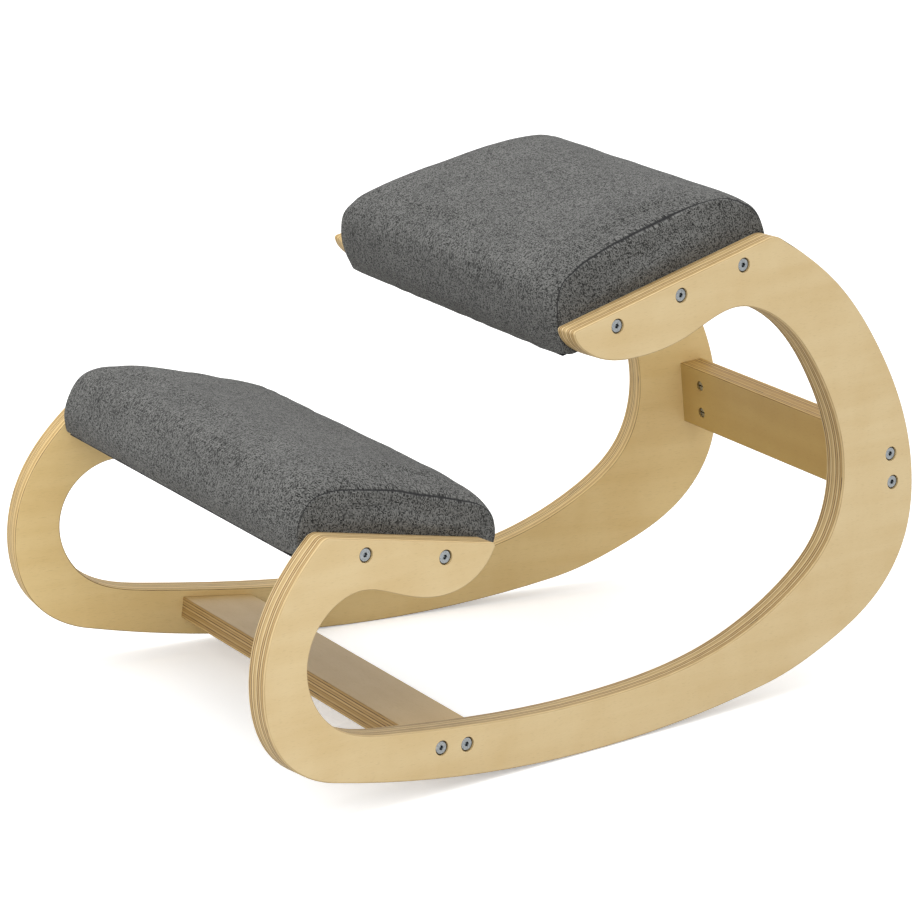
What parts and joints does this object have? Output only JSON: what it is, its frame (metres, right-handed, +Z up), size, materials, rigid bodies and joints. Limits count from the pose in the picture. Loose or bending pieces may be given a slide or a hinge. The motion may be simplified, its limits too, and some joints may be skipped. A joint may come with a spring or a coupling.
{
  "type": "kneeling chair",
  "caption": "Rocking kneeling chair: curved plywood side frames carry a padded seat and a padded knee rest, tied by a front slat and a rear rail.",
  "frame": {"origin": "on the floor, midway between the two side frames, under the lowest point of the rockers", "axes": "+Y points to the back of the chair (the sitter faces -Y), +X to the right-hand side frame, +Z up"},
  "size_m": [0.505, 0.7398, 0.4826],
  "materials": {
    "birch_plywood": "clear satin lacquer, pale birch face veneer, banded edges",
    "pine": "planed, bare",
    "poplar_plywood": "bare",
    "foam": "open-cell foam",
    "upholstery": "heathered grey plain weave",
    "dust_cloth": "non-woven cloth",
    "zinc_plated_steel": "bright zinc"
  },
  "bodies": {
    "root": {"right_side_frame": "birch_plywood", "left_side_frame": "birch_plywood", "front_cross_slat": "birch_plywood", "rear_cross_rail": "birch_plywood", "seat_right_end_rail": "pine", "seat_left_end_rail": "pine", "seat_front_rail": "pine", "seat_rear_rail": "pine", "seat_panel": "poplar_plywood", "seat_foam": "foam", "seat_cover": "upholstery", "seat_dust_cover": "dust_cloth", "knee_right_end_rail": "pine", "knee_left_end_rail": "pine", "knee_front_rail": "pine", "knee_rear_rail": "pine", "knee_panel": "poplar_plywood", "knee_foam": "foam", "knee_cover": "upholstery", "knee_dust_cover": "dust_cloth", "seat_bolts": "zinc_plated_steel", "knee_bolts": "zinc_plated_steel", "front_slat_bolts": "zinc_plated_steel", "rear_rail_bolts": "zinc_plated_steel", "seat_inserts": "zinc_plated_steel", "knee_inserts": "zinc_plated_steel", "front_slat_barrel_nuts": "zinc_plated_steel", "rear_rail_barrel_nuts": "zinc_plated_steel"}
  },
  "joints": []
}
